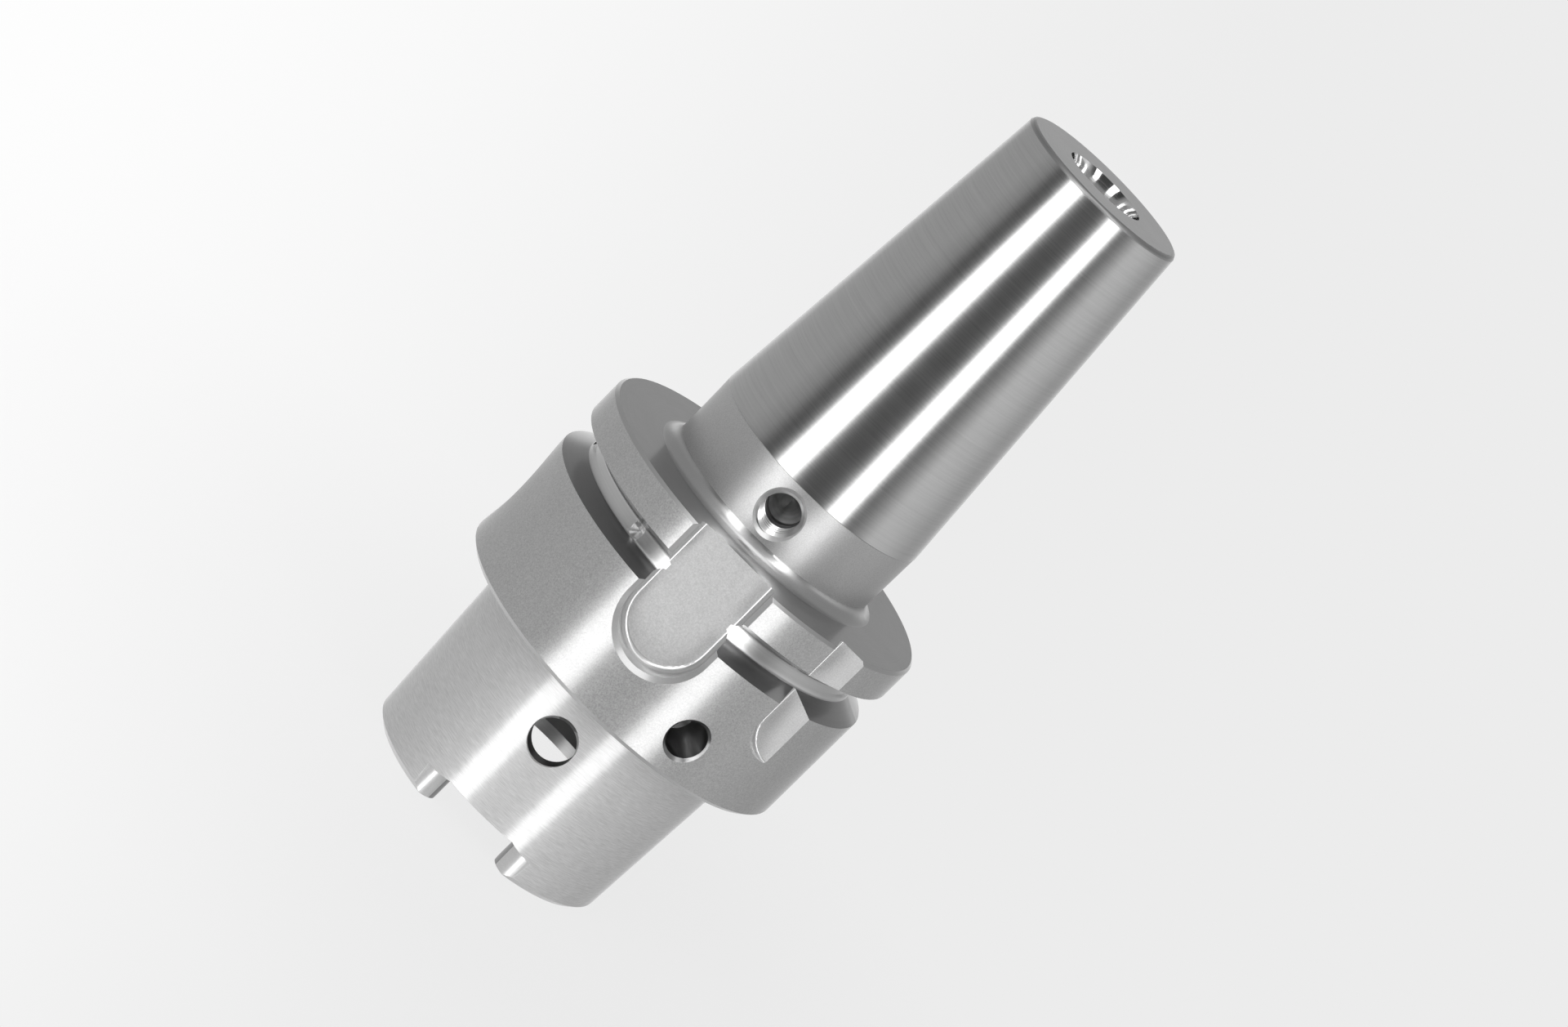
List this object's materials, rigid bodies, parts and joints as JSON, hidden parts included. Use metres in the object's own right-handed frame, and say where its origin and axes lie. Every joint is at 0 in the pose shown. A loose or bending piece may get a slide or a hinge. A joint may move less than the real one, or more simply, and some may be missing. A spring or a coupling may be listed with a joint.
{
  "type": "shrink fit chuck",
  "caption": "Slim shrink fit tool chuck with a hollow taper shank, a grooved flange with keyways, a conical nose with a plain bore and a length stop screw inside.",
  "frame": {"origin": "on the turning axis, in the plane of the flange's rear contact face", "axes": "+Z along the turning axis towards the nose; the narrow keyway is at -Y and the orientation notch at +X of it"},
  "size_m": [0.05, 0.05, 0.1098],
  "materials": {
    "ground_steel": "turned and ground, satin",
    "blackened_steel": "black oxide"
  },
  "bodies": {
    "chuck": {"chuck_body": "ground_steel"},
    "stop_screw": {"length_stop_screw": "blackened_steel"}
  },
  "joints": [
    {"name": "stop_screw_travel", "type": "slide", "parent": "chuck", "child": "stop_screw", "axis": [0, 0, 1], "range_m": [0, 0.01]}
  ]
}
